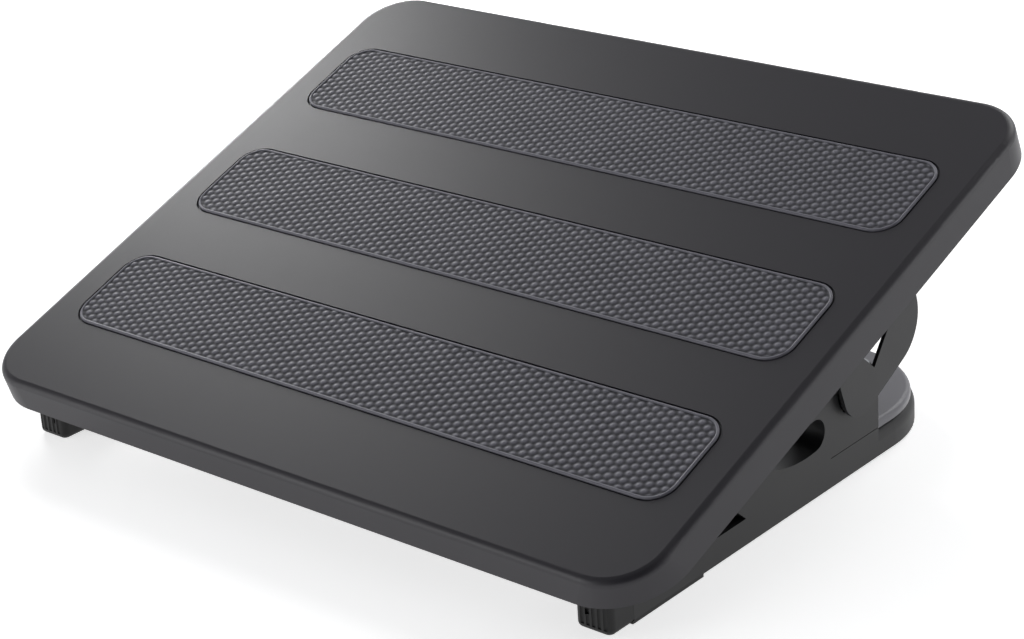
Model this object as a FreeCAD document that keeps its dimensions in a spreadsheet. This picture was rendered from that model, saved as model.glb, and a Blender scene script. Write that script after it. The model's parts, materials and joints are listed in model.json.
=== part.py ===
"""Tilting under desk footrest: a ribbed deck with three rubber treads that rocks on a low base.

The origin is on the floor under the middle of the whole, X runs across, +Y points away from the user, and Z
is up. Each body is drawn about the tilt axis, or about the floor point under it, and is then moved back.
The deck and all that turns with it are drawn about the tilt axis with the deck level, and are then tilted.
"""
import FreeCAD, Part
import math
import os
import Sketcher

V = FreeCAD.Vector

# Driving dimensions in millimetres and degrees, as they stand in the sheet
SIZES = {
    # Tilt axis
    "deck_tilt": 19.75,          # slope of the deck as shown, its front end down
    "axis_height": 50.2,         # floor to tilt axis
    "axis_along": 37.72,         # middle of the whole back to the tilt axis
    "deck_rise": 59.65,          # tilt axis to the deck's top face
    # Deck shell
    "deck_width": 450.0,
    "deck_depth": 365.2,
    "deck_front": 206.4,         # tilt axis to the deck's front edge
    "deck_corner": 28.0,         # corner radius of the top face
    "rim_corner": 38.5,          # corner radius of the skirt's rim
    "deck_edge": 4.0,            # rounding of the top edge
    "deck_skin": 3.2,
    "deck_wall": 2.6,
    "skirt_drop": 18.0,          # top face to the rim at the back
    "skirt_side": 16.6,          # top face to the rim at the sides
    "skirt_front": 15.6,         # top face to the rim at the front
    "skirt_ease": 30.0,          # length over which the rim drops from one to the other
    "skirt_flare": 3.3,          # how far the rim stands outside the top face
    "rib_drop": 13.0,            # top face to the lower edge of the ribs
    "rib_thick": 2.0,
    "rib_bite": 0.4,             # how far a rib's end stays inside the skirt's outer face
    "rib_pitch_across": 43.0,
    "rib_pitch_along": 41.0,
    # Treads
    "tread_wide": 411.0,
    "tread_deep": 60.5,
    "tread_pitch": 100.5,
    "tread_corner": 15.0,
    "tread_sunk": 1.2,           # depth of the recess
    "tread_thick": 1.8,
    "tread_gap": 0.5,            # groove between a tread and its recess
    "tread_edge": 0.5,
    # Steel ears, one on each side
    "ear_face": 204.4,           # middle of the product to an ear's outer face
    "ear_thick": 2.0,
    "ear_lobe": 16.0,            # radius round the tilt axis
    "ear_back": 57.4,            # tilt axis to the rear edge
    "ear_heel": 24.4,            # radius of the lower rear corner
    "ear_heel_up": 12.3,         # tilt axis up to the centre of that corner
    "ear_toe": 16.0,             # tilt axis forward to the top of the front edge
    "ear_seat": 9.0,             # deck's top face down to the ear's flange
    "ear_flange": 16.5,          # width of the flange, with the plate
    "ear_screw_in": 8.0,         # from the ends of the flange to the screws
    # Pivot
    "pin_radius": 5.0,
    "pin_thread": 4.0,
    "hub_radius": 13.5,
    "run_gap": 0.05,             # radial clearance of the pin in its bush
    "bush_wall": 1.5,
    "washer_thick": 1.5,
    "spring_thick": 1.2,
    "nut_across": 13.0,
    "nut_thick": 8.0,
    # Base frame
    "base_half": 199.8,          # middle of the product to the base's side
    "rail_wide": 19.8,
    "rail_top": 15.6,
    "frame_top": 17.6,
    "frame_low": 1.6,            # floor to the frame's lower edge
    "frame_wall": 3.0,
    "frame_skin": 3.0,
    "frame_rib_pitch": 25.8,
    "frame_front": 194.2,        # tilt axis to the front end of a rail
    "frame_back": 99.3,          # tilt axis to the rear edge
    "beam_front": 21.5,          # tilt axis to the front edge of the rear beam
    "frame_corner": 62.4,
    "beam_corner": 14.0,
    "step_back": 60.0,           # tilt axis forward to the step in the rails' top
    "post_deep": 12.0,
    "post_top": 26.0,
    # Cover of the rear beam
    "cover_thick": 4.4,
    "cover_inset": 2.0,
    "cover_edge": 2.8,
    "beam_edge": 6.0,            # rounding of the beam's outer edge under the cover
    "peg_radius": 2.9,
    # Brackets
    "bracket_thick": 18.0,
    "bracket_wall": 2.6,
    "bracket_back": 21.1,        # tilt axis to the bracket's rear edge
    "bracket_toe": 101.0,        # tilt axis forward to its front end
    "bracket_round": 16.8,       # rounding over the tilt axis
    "bracket_seam": 0.35,        # open seam under the bracket's rear part
    "recess_radius": 15.2,
    "recess_deep": 6.0,
    "bean_radius": 8.5,
    "bean_sweep": 71.5,          # radius of the bean window's middle line
    "bean_back": 35.2,           # tilt axis forward to the middle of its rear end
    "bean_front": 76.0,
    "bean_up": 35.6,             # floor to the middle of its rear end
    # Rubber feet
    "boot_front": 199.5,         # tilt axis to the front of a boot
    "boot_back": 129.0,
    "boot_corner": 4.0,
    "boot_edge": 3.0,            # rounding of its lower edges
    "boot_lip": 1.5,             # how far a boot stands inside its rail
    "boot_wall": 2.6,
    "sole_thick": 1.5,
    "flute_radius": 1.1,
    "flute_pitch": 3.4,
    "foot_radius": 9.5,
    "foot_stem": 3.2,
    "foot_across": 165.0,
    "foot_along": 68.0,
    # Screws and small clearances
    "screw_shank": 1.6,
    "screw_head": 3.8,
    "screw_head_thick": 2.4,
    "screw_room": 0.3,           # radial room round a shank
    "seat_gap": 0.1,             # between parts that seat on each other
    "rest_gap": 0.3,             # between the deck's rest pads and the boots
}

doc = FreeCAD.newDocument("Footrest")
sheet = doc.addObject("Spreadsheet::Sheet", "Sizes")
for row, (alias, number) in enumerate(SIZES.items(), start=1):
    sheet.set(f"A{row}", alias)
    sheet.set(f"B{row}", str(number))
    sheet.setAlias(f"B{row}", alias)
doc.recompute()
nodes = []


# Helpers for sketches and features

def size(alias):
    """A number from the sheet."""
    return float(sheet.get(alias))


def origin_plane(body, role):
    return next(item for item in body.Origin.OriginFeatures if item.Role == role)


def new_body(name, tilted=False, at_axis=True):
    """A body drawn about the tilt axis, or about the floor point under it."""
    body = doc.addObject("PartDesign::Body", name)
    body.Label = name
    body.Placement = FreeCAD.Placement(V(0, 0, 0), FreeCAD.Rotation(V(1, 0, 0), 1))
    body.setExpression("Placement.Base.y", "Sizes.axis_along")
    if at_axis:
        body.setExpression("Placement.Base.z", "Sizes.axis_height")
    body.setExpression("Placement.Rotation.Angle", "Sizes.deck_tilt" if tilted else "0")
    nodes.append(body)
    return body


def new_sketch(body, name, role, offset="0"):
    sketch = body.newObject("Sketcher::SketchObject", name)
    sketch.AttachmentSupport = [(origin_plane(body, role), "")]
    sketch.MapMode = "FlatFace"
    sketch.setExpression("AttachmentOffset.Base.z", offset)
    return sketch


def bind(sketch, kind, geometry, point, words, start):
    """Hold one coordinate of a sketch point at an expression, measured from the sketch's origin."""
    index = sketch.addConstraint(Sketcher.Constraint(kind, -1, 1, geometry, point, start))
    sketch.setExpression(f"Constraints[{index}]", words)


def polygon(body, name, role, offset, *outlines):
    """A sketch of closed outlines; the corners of each are pairs of expressions."""
    sketch = new_sketch(body, name, role, offset)
    first = 0
    for corners in outlines:
        count = len(corners)
        turn = 2 * math.pi / count
        rough = [V(30 * first + 10 * math.cos(turn * k + 0.3), 10 * math.sin(turn * k + 0.3), 0) for k in range(count)]
        for k in range(count):
            sketch.addGeometry(Part.LineSegment(rough[k], rough[(k + 1) % count]), False)
        for k in range(count):
            sketch.addConstraint(Sketcher.Constraint("Coincident", first + k, 2, first + (k + 1) % count, 1))
        for k, (across, up) in enumerate(corners):
            bind(sketch, "DistanceX", first + k, 1, across, rough[k].x)
            bind(sketch, "DistanceY", first + k, 1, up, rough[k].y)
        first += count
    return sketch


def box_corners(left, right, low, high):
    return [(left, low), (right, low), (right, high), (left, high)]


def box_outline(body, name, role, offset, left, right, low, high):
    return polygon(body, name, role, offset, box_corners(left, right, low, high))


def rounded_box(body, name, role, offset, left, right, low, high, radius):
    """A rectangle with round corners: four arcs whose centres are held, joined by tangent lines."""
    sketch = new_sketch(body, name, role, offset)
    turn = math.pi / 2
    for k, (x, y) in enumerate(((15, 10), (-15, 10), (-15, -10), (15, -10))):
        corner = Part.Circle(V(x, y, 0), V(0, 0, 1), 5)
        sketch.addGeometry(Part.ArcOfCircle(corner, k * turn, (k + 1) * turn), False)
    for k in range(4):
        start, end = sketch.Geometry[k].EndPoint, sketch.Geometry[(k + 1) % 4].StartPoint
        sketch.addGeometry(Part.LineSegment(start, end), False)
    for k in range(4):
        sketch.addConstraint(Sketcher.Constraint("Tangent", k, 2, 4 + k, 1))
        sketch.addConstraint(Sketcher.Constraint("Tangent", 4 + k, 2, (k + 1) % 4, 1))
    for k in range(1, 4):
        sketch.addConstraint(Sketcher.Constraint("Equal", 0, k))
    for k, (x, y) in enumerate(((right, high), (left, high), (left, low), (right, low))):
        sign_x, sign_y = "-" if x == right else "+", "-" if y == high else "+"
        bind(sketch, "DistanceX", k, 3, f"{x} {sign_x} ({radius})", sketch.Geometry[k].Center.x)
        bind(sketch, "DistanceY", k, 3, f"{y} {sign_y} ({radius})", sketch.Geometry[k].Center.y)
    index = sketch.addConstraint(Sketcher.Constraint("Radius", 0, 5))
    sketch.setExpression(f"Constraints[{index}]", radius)
    return sketch


def circles(body, name, role, offset, places, radius):
    """A sketch with a circle of one radius at each place."""
    sketch = new_sketch(body, name, role, offset)
    for k, (across, up) in enumerate(places):
        sketch.addGeometry(Part.Circle(V(20 * k + 1, 1, 0), V(0, 0, 1), 2), False)
        bind(sketch, "DistanceX", k, 3, across, 20 * k + 1)
        bind(sketch, "DistanceY", k, 3, up, 1)
        index = sketch.addConstraint(Sketcher.Constraint("Radius", k, 2))
        sketch.setExpression(f"Constraints[{index}]", radius)
    return sketch


def pad(body, name, sketch, length, back=False):
    feature = body.newObject("PartDesign::Pad", name)
    feature.Profile = sketch
    feature.setExpression("Length", length)
    feature.Reversed = back
    doc.recompute()
    return feature


def loft(body, name, kind, first, second):
    """A body or a cut between two outlines that have the same number of sides."""
    feature = body.newObject(f"PartDesign::{kind}Loft", name)
    feature.Profile = first
    feature.Sections = [second]
    feature.Ruled = True
    doc.recompute()
    return feature


def pocket(body, name, sketch, length, back=False):
    """A cut that has to take something away."""
    before = body.Shape.Volume
    feature = body.newObject("PartDesign::Pocket", name)
    feature.Profile = sketch
    feature.setExpression("Length", length)
    feature.Reversed = back
    doc.recompute()
    if feature.Shape.isNull() or feature.Shape.Volume > before - 0.1:
        raise ValueError(f"{name} cuts nothing")
    return feature


def repeat(body, name, feature, role, length, count):
    """Copies of a feature along one of the body's axes."""
    pattern = body.newObject("PartDesign::LinearPattern", name)
    pattern.Originals = [feature]
    pattern.Direction = (origin_plane(body, role), [""])
    pattern.setExpression("Length", length)
    pattern.Occurrences = count
    body.Tip = pattern
    doc.recompute()
    return pattern


def round_edges(body, name, radius, picked):
    """A fillet on the edges of the body's tip for which picked(edge) is true."""
    base = body.Tip
    names = [f"Edge{k + 1}" for k, edge in enumerate(base.Shape.Edges) if picked(edge)]
    if not names:
        raise ValueError(f"{name} finds no edge")
    feature = body.newObject("PartDesign::Fillet", name)
    feature.Base = (base, names)
    feature.setExpression("Radius", radius)
    doc.recompute()
    return feature


def turned(name, tilted, profile):
    """A turned piece on the tilt axis: the profile's corners are (place along X, radius)."""
    body = new_body(name, tilted)
    sketch = polygon(body, name + "Profile", "XZ_Plane", "0", profile)
    feature = body.newObject("PartDesign::Revolution", name + "Turn")
    feature.Profile = sketch
    feature.ReferenceAxis = (origin_plane(body, "X_Axis"), [""])
    feature.Angle = 360
    doc.recompute()
    return body


def along(edge):
    """The edge's box as lengths along X, Y and Z."""
    box = edge.BoundBox
    return box.XLength, box.YLength, box.ZLength


def near(value, wanted, within=0.05):
    return abs(value - wanted) < within


# Deck: one moulded shell with a leaning skirt, three shallow recesses and a grid of ribs underneath

def make_deck():
    body = new_body("deck", tilted=True)
    rise = size("deck_rise")
    rim = "Sizes.deck_rise - Sizes.skirt_drop"
    outside = [deck_outline(body, "TopOutline", "Sizes.deck_rise", "0", "Sizes.deck_corner"),
               deck_outline(body, "RimOutline", rim, "Sizes.skirt_flare", "Sizes.rim_corner")]
    loft(body, "DeckShell", "Additive", *outside)
    inside = [deck_outline(body, "CavityOutline", "Sizes.deck_rise - Sizes.deck_skin",
                           "Sizes.skirt_flare * Sizes.deck_skin / Sizes.skirt_drop - Sizes.deck_wall",
                           "Sizes.deck_corner - Sizes.deck_wall"),
              deck_outline(body, "MouthOutline", rim, "Sizes.skirt_flare - Sizes.deck_wall",
                           "Sizes.rim_corner - Sizes.deck_wall")]
    loft(body, "DeckCavity", "Subtractive", *inside)
    round_edges(body, "DeckEdge", "Sizes.deck_edge", lambda edge: edge.BoundBox.ZMin > rise - 0.01)
    add_recesses(body)
    add_ribs(body)
    add_rim(body)
    add_ear_seats(body)
    return body


def deck_outline(body, name, height, out, radius):
    """The deck's outline at a height, this far outside its top face."""
    half = "Sizes.deck_width / 2"
    return rounded_box(body, name, "XY_Plane", height, f"-({half}) - ({out})", f"{half} + ({out})",
                       f"-Sizes.deck_front - ({out})", f"Sizes.deck_depth - Sizes.deck_front + ({out})", radius)


def add_recesses(body):
    """Three shallow recesses for the treads, the middle one halfway along the deck."""
    low = f"{TREAD_MIDDLE} - Sizes.tread_pitch - Sizes.tread_deep / 2"
    first = rounded_box(body, "RecessOutline", "XY_Plane", "Sizes.deck_rise", "-Sizes.tread_wide / 2",
                        "Sizes.tread_wide / 2", low, f"{low} + Sizes.tread_deep", "Sizes.tread_corner")
    cut = pocket(body, "TreadRecess", first, "Sizes.tread_sunk")
    repeat(body, "TreadRecesses", cut, "Y_Axis", "2 * Sizes.tread_pitch", 3)


TREAD_MIDDLE = "(Sizes.deck_depth / 2 - Sizes.deck_front)"
RIB_LOW = "Sizes.deck_rise - Sizes.rib_drop"
RIB_TALL = "Sizes.rib_drop - Sizes.deck_skin"


def add_ribs(body):
    """Ribs from front to back and from side to side, ending inside the skirt."""
    half = "Sizes.rib_thick / 2"
    front = "-Sizes.deck_front + Sizes.rib_bite"
    back = "Sizes.deck_depth - Sizes.deck_front - Sizes.rib_bite"
    side = "Sizes.deck_width / 2 - Sizes.rib_bite"
    long_ribs = []
    for k in range(-4, 5):
        middle = f"{k} * Sizes.rib_pitch_across"
        long_ribs.append(box_corners(f"{middle} - {half}", f"{middle} + {half}", front, back))
    pad(body, "LongRibs", polygon(body, "LongRibOutline", "XY_Plane", RIB_LOW, *long_ribs), RIB_TALL)
    cross_ribs = []
    for k in range(8):
        middle = f"{TREAD_MIDDLE} + {k - 3.5} * Sizes.rib_pitch_along"
        cross_ribs.append(box_corners(f"-({side})", side, f"{middle} - {half}", f"{middle} + {half}"))
    pad(body, "CrossRibs", polygon(body, "CrossRibOutline", "XY_Plane", RIB_LOW, *cross_ribs), RIB_TALL)


def add_rim(body):
    """The rim rises from the back to the sides and again towards the front."""
    side, front = "Sizes.deck_rise - Sizes.skirt_side", "Sizes.deck_rise - Sizes.skirt_front"
    rim = "Sizes.deck_rise - Sizes.skirt_drop"
    out = "-Sizes.deck_front - Sizes.skirt_drop"
    bend = "-Sizes.deck_front + Sizes.deck_edge"
    back = "Sizes.deck_depth - Sizes.deck_front + Sizes.skirt_flare"
    below = f"{rim} - Sizes.skirt_drop"
    outline = polygon(body, "RimCutOutline", "YZ_Plane", "0",
                      [(out, below), (back, below), (back, rim), (f"{back} - Sizes.skirt_ease", side),
                       (f"{bend} + Sizes.skirt_ease", side), (bend, front), (out, front)])
    cut = pocket(body, "RimCut", outline, "2 * Sizes.deck_width")
    cut.Midplane = True
    doc.recompute()


SCREW_X = "Sizes.ear_face + Sizes.ear_flange / 2"
EAR_SCREWS = ["Sizes.ear_screw_in - Sizes.ear_toe", "(Sizes.ear_back - Sizes.ear_toe) / 2",
              "Sizes.ear_back - Sizes.ear_screw_in"]


def add_ear_seats(body):
    """For each ear a clear strip with three screw bosses, and a rest pad over each boot."""
    seat = "Sizes.deck_rise - Sizes.ear_seat"
    wide = "(Sizes.deck_width / 2 - 2 * Sizes.deck_wall)"
    narrow = "(Sizes.ear_face - 2 * Sizes.ear_thick)"
    long = ("-Sizes.ear_toe - Sizes.ear_thick", "Sizes.ear_back + Sizes.ear_thick")
    strips = [box_corners(narrow, wide, *long), box_corners("-" + wide, "-" + narrow, *long)]
    pocket(body, "EarSeats", polygon(body, "SeatOutline", "XY_Plane", seat, *strips), "Sizes.skirt_drop")
    places = [(f"{side} * ({SCREW_X})", along_y) for side in (1, -1) for along_y in EAR_SCREWS]
    bosses = circles(body, "BossOutline", "XY_Plane", seat, places, "3 * Sizes.screw_shank")
    pad(body, "Bosses", bosses, "Sizes.ear_seat - Sizes.deck_skin")
    pilots = circles(body, "PilotOutline", "XY_Plane", seat, places, "Sizes.screw_shank + Sizes.run_gap")
    pocket(body, "Pilots", pilots, "Sizes.ear_seat - Sizes.deck_skin + 1", back=True)
    inner, outer = "(Sizes.base_half - Sizes.rail_wide)", "Sizes.base_half"
    pads = [box_corners(inner, outer, "-Sizes.boot_front + 5", "-Sizes.boot_front + 20"),
            box_corners("-" + outer, "-" + inner, "-Sizes.boot_front + 5", "-Sizes.boot_front + 20")]
    pad(body, "RestPads", polygon(body, "RestPadOutline", "XY_Plane", RIB_LOW, *pads), RIB_TALL)


# Treads: three rubber strips in the recesses of the deck

def make_tread(name, place):
    body = new_body(name, tilted=True)
    middle = f"{TREAD_MIDDLE} + {place} * Sizes.tread_pitch"
    half_x = "Sizes.tread_wide / 2 - Sizes.tread_gap"
    half_y = "Sizes.tread_deep / 2 - Sizes.tread_gap"
    outline = rounded_box(body, name + "Outline", "XY_Plane", "Sizes.deck_rise - Sizes.tread_sunk",
                          f"-({half_x})", half_x, f"{middle} - ({half_y})", f"{middle} + ({half_y})",
                          "Sizes.tread_corner - Sizes.tread_gap")
    pad(body, name + "Slab", outline, "Sizes.tread_thick")
    top = size("deck_rise") - size("tread_sunk") + size("tread_thick")
    round_edges(body, name + "Edge", "Sizes.tread_edge", lambda edge: near(edge.BoundBox.ZMin, top, 0.01))


# Ears: pressed steel plates that carry the deck on the tilt axis

def tangent_turn(radius_a, radius_b, shift_across, shift_up):
    """Direction in radians, seen from both centres, where the outer tangent of two circles touches them."""
    span = math.hypot(shift_across, shift_up)
    return math.atan2(shift_up, shift_across) - math.acos((radius_a - radius_b) / span)


def ear_sketch(body, name, offset):
    """Lobe round the tilt axis, heel corner, straight rear edge, and a front edge that touches the lobe."""
    lobe, heel = size("ear_lobe"), size("ear_heel")
    heel_y, heel_z = size("ear_back") - heel, size("ear_heel_up")
    top, toe = size("deck_rise") - size("ear_seat"), size("ear_toe")
    low = tangent_turn(lobe, heel, heel_y, heel_z)
    reach = math.hypot(toe, top)
    front = math.atan2(top, -toe) + math.acos(lobe / reach)
    place = [V(lobe * math.cos(front), lobe * math.sin(front), 0), V(lobe * math.cos(low), lobe * math.sin(low), 0),
             V(heel_y + heel * math.cos(low), heel_z + heel * math.sin(low), 0), V(heel_y + heel, heel_z, 0),
             V(heel_y + heel, top, 0), V(-toe, top, 0)]
    sketch = new_sketch(body, name, "YZ_Plane", offset)
    turn = 2 * math.pi
    sketch.addGeometry(Part.ArcOfCircle(Part.Circle(V(0, 0, 0), V(0, 0, 1), lobe), front, low + turn), False)
    sketch.addGeometry(Part.LineSegment(place[1], place[2]), False)
    centre = V(heel_y, heel_z, 0)
    sketch.addGeometry(Part.ArcOfCircle(Part.Circle(centre, V(0, 0, 1), heel), low, 0), False)
    sketch.addGeometry(Part.LineSegment(place[3], place[4]), False)
    sketch.addGeometry(Part.LineSegment(place[4], place[5]), False)
    sketch.addGeometry(Part.LineSegment(place[5], place[0]), False)
    for first, second in ((0, 1), (1, 2), (2, 3)):
        sketch.addConstraint(Sketcher.Constraint("Tangent", first, 2, second, 1))
    sketch.addConstraint(Sketcher.Constraint("Tangent", 5, 2, 0, 1))
    for first, second in ((3, 4), (4, 5)):
        sketch.addConstraint(Sketcher.Constraint("Coincident", first, 2, second, 1))
    sketch.addConstraint(Sketcher.Constraint("Coincident", 0, 3, -1, 1))
    sketch.addConstraint(Sketcher.Constraint("Vertical", 3))
    sketch.addConstraint(Sketcher.Constraint("Horizontal", 4))
    for arc, words in ((0, "Sizes.ear_lobe"), (2, "Sizes.ear_heel")):
        index = sketch.addConstraint(Sketcher.Constraint("Radius", arc, size(words.split(".")[1])))
        sketch.setExpression(f"Constraints[{index}]", words)
    bind(sketch, "DistanceX", 3, 2, "Sizes.ear_back", size("ear_back"))
    bind(sketch, "DistanceY", 3, 2, "Sizes.deck_rise - Sizes.ear_seat", top)
    bind(sketch, "DistanceY", 2, 3, "Sizes.ear_heel_up", heel_z)
    bind(sketch, "DistanceX", 4, 2, "-Sizes.ear_toe", -toe)
    return sketch


def make_ear(side):
    name = "ear_right" if side > 0 else "ear_left"
    body = new_body(name, tilted=True)
    inner = f"{side} * (Sizes.ear_face - Sizes.ear_thick)"
    pad(body, name + "Plate", ear_sketch(body, name + "Outline", inner), "Sizes.ear_thick", back=side < 0)
    top = "Sizes.deck_rise - Sizes.ear_seat"
    flange = box_outline(body, name + "FlangeOutline", "XY_Plane", top, inner,
                         f"{side} * (Sizes.ear_face - Sizes.ear_thick + Sizes.ear_flange)",
                         "-Sizes.ear_toe", "Sizes.ear_back")
    pad(body, name + "Flange", flange, "Sizes.ear_thick", back=True)
    tall = size("deck_rise") - size("ear_seat")
    face = side * size("ear_face")
    round_edges(body, name + "Bend", "Sizes.ear_thick",
                lambda edge: near(edge.BoundBox.XMin, face) and near(edge.BoundBox.XMax, face)
                and near(edge.BoundBox.ZMin, tall - size("ear_thick")) and along(edge)[1] > 20
                and along(edge)[2] < 0.1)
    window = polygon(body, name + "WindowOutline", "YZ_Plane", inner,
                     [("12.4", "1.9"), ("Sizes.ear_back - 13.4", f"{top} - 28"), ("Sizes.ear_back - 13.4", f"{top} - 11"),
                      ("-8", f"{top} - 11")])
    pocket(body, name + "Window", window, "Sizes.ear_thick", back=side > 0)
    places = [(f"{side} * ({SCREW_X})", along_y) for along_y in EAR_SCREWS]
    holes = circles(body, name + "HoleOutline", "XY_Plane", top, places, "Sizes.screw_shank + Sizes.screw_room")
    pocket(body, name + "Holes", holes, "Sizes.ear_thick")


# Screws: groups of identical pan heads with a hexagon recess

def make_screws(name, places, seat, length, tilted=False):
    """Screws driven upwards, their heads just under the given height."""
    parts = []
    for k, (across, along_y) in enumerate(places):
        head = doc.addObject("Part::Cylinder", f"{name}Head{k}")
        head.setExpression("Radius", "Sizes.screw_head")
        head.setExpression("Height", "Sizes.screw_head_thick")
        head.setExpression("Placement.Base.z", f"{seat} - Sizes.screw_head_thick")
        shank = doc.addObject("Part::Cylinder", f"{name}Shank{k}")
        shank.setExpression("Radius", "Sizes.screw_shank")
        shank.setExpression("Height", f"{length} + Sizes.screw_head_thick / 4")
        shank.setExpression("Placement.Base.z", f"{seat} - Sizes.screw_head_thick / 4")
        socket = doc.addObject("Part::Prism", f"{name}Socket{k}")
        socket.Polygon = 6
        socket.setExpression("Circumradius", "Sizes.screw_shank")
        socket.setExpression("Height", "Sizes.screw_head_thick")
        socket.setExpression("Placement.Base.z", f"{seat} - 1.5 * Sizes.screw_head_thick")
        for item in (head, shank, socket):
            item.setExpression("Placement.Base.x", across)
            item.setExpression("Placement.Base.y", along_y)
        whole = doc.addObject("Part::Fuse", f"{name}Whole{k}")
        whole.Base, whole.Tool = head, shank
        screw = doc.addObject("Part::Cut", f"{name}Screw{k}")
        screw.Base, screw.Tool = whole, socket
        parts.append(screw)
    group = doc.addObject("Part::Compound", name)
    group.Links = parts
    group.Label = name
    group.Placement = FreeCAD.Placement(V(0, 0, 0), FreeCAD.Rotation(V(1, 0, 0), 1))
    group.setExpression("Placement.Base.y", "Sizes.axis_along")
    if tilted:
        group.setExpression("Placement.Base.z", "Sizes.axis_height")
    group.setExpression("Placement.Rotation.Angle", "Sizes.deck_tilt" if tilted else "0")
    nodes.append(group)


# Pivots: hub and shank welded to the ear, washers, bush and lock nut, all turned on the tilt axis

def ring(start, end, inner, outer):
    """Corners of a plain ring's profile."""
    return [(start, inner), (end, inner), (end, outer), (start, outer)]


def make_pivot(side):
    tag = "right" if side > 0 else "left"

    def at(words):
        """Place along X, given as a distance from the middle of the product."""
        return f"{side} * ({words})"

    face = "Sizes.ear_face - Sizes.ear_thick"
    floor = "Sizes.base_half - Sizes.recess_deep"
    hub = f"{floor} + Sizes.washer_thick + Sizes.seat_gap"
    inner = "Sizes.base_half - Sizes.bracket_thick"
    flange = f"{inner} - Sizes.bush_wall"
    spring = f"{flange} - Sizes.seat_gap"
    flat = f"{spring} - Sizes.spring_thick - Sizes.seat_gap"
    nut = f"{flat} - Sizes.washer_thick - Sizes.seat_gap"
    end = f"{nut} - Sizes.nut_thick - 2"
    bore = "Sizes.pin_radius + Sizes.run_gap"
    turned(f"pivot_pin_{tag}", True,
           [(at(end), "0"), (at(face), "0"), (at(face), "Sizes.hub_radius"), (at(hub), "Sizes.hub_radius"),
            (at(hub), "Sizes.pin_radius"), (at(flange), "Sizes.pin_radius"), (at(flange), "Sizes.pin_thread"),
            (at(f"{end} + 0.8"), "Sizes.pin_thread"), (at(end), "Sizes.pin_thread - 0.8")])
    turned(f"friction_washer_{tag}", False,
           ring(at(floor), at(f"{floor} + Sizes.washer_thick"), "Sizes.pin_radius + 0.3", "Sizes.recess_radius - 0.3"))
    turned(f"pivot_bush_{tag}", False,
           [(at(flange), bore), (at(floor), bore), (at(floor), f"{bore} + Sizes.bush_wall"),
            (at(inner), f"{bore} + Sizes.bush_wall"), (at(inner), f"{bore} + 3 * Sizes.bush_wall"),
            (at(flange), f"{bore} + 3 * Sizes.bush_wall")])
    turned(f"spring_washer_{tag}", True,
           ring(at(f"{spring} - Sizes.spring_thick"), at(spring), "Sizes.pin_thread + 0.3", "2 * Sizes.pin_thread + 0.5"))
    turned(f"flat_washer_{tag}", True,
           ring(at(f"{flat} - Sizes.washer_thick"), at(flat), "Sizes.pin_thread + 0.3", "2 * Sizes.pin_thread + 1"))
    body = new_body(f"lock_nut_{tag}", True)
    reach = "Sizes.nut_across / 2 / cos(30)"
    corners = [(f"{reach} * cos({60 * k})", f"{reach} * sin({60 * k})") for k in range(6)]
    outline = polygon(body, f"NutOutline{tag}", "YZ_Plane", at(nut), corners)
    pad(body, f"NutBlock{tag}", outline, "Sizes.nut_thick", back=side > 0)
    thread = circles(body, f"NutBore{tag}", "YZ_Plane", at(nut), [("0", "0")], "Sizes.pin_thread + Sizes.run_gap")
    pocket(body, f"NutThread{tag}", thread, "Sizes.nut_thick", back=side < 0)


# Base frame: two rails and a rear beam in one moulding, hollow from below

RAIL_END = "(Sizes.frame_front - Sizes.post_deep)"
RAIL_INNER = "(Sizes.base_half - Sizes.rail_wide)"
FRAME_HOLLOW = "(Sizes.rail_top - Sizes.frame_low - Sizes.frame_skin)"
PEGS = [("-150", "50"), ("150", "50"), ("-65", "36"), ("65", "36"), ("-65", "84"), ("65", "84")]
BRACKET_SCREWS = ["-88", "-39.4", "10"]


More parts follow.
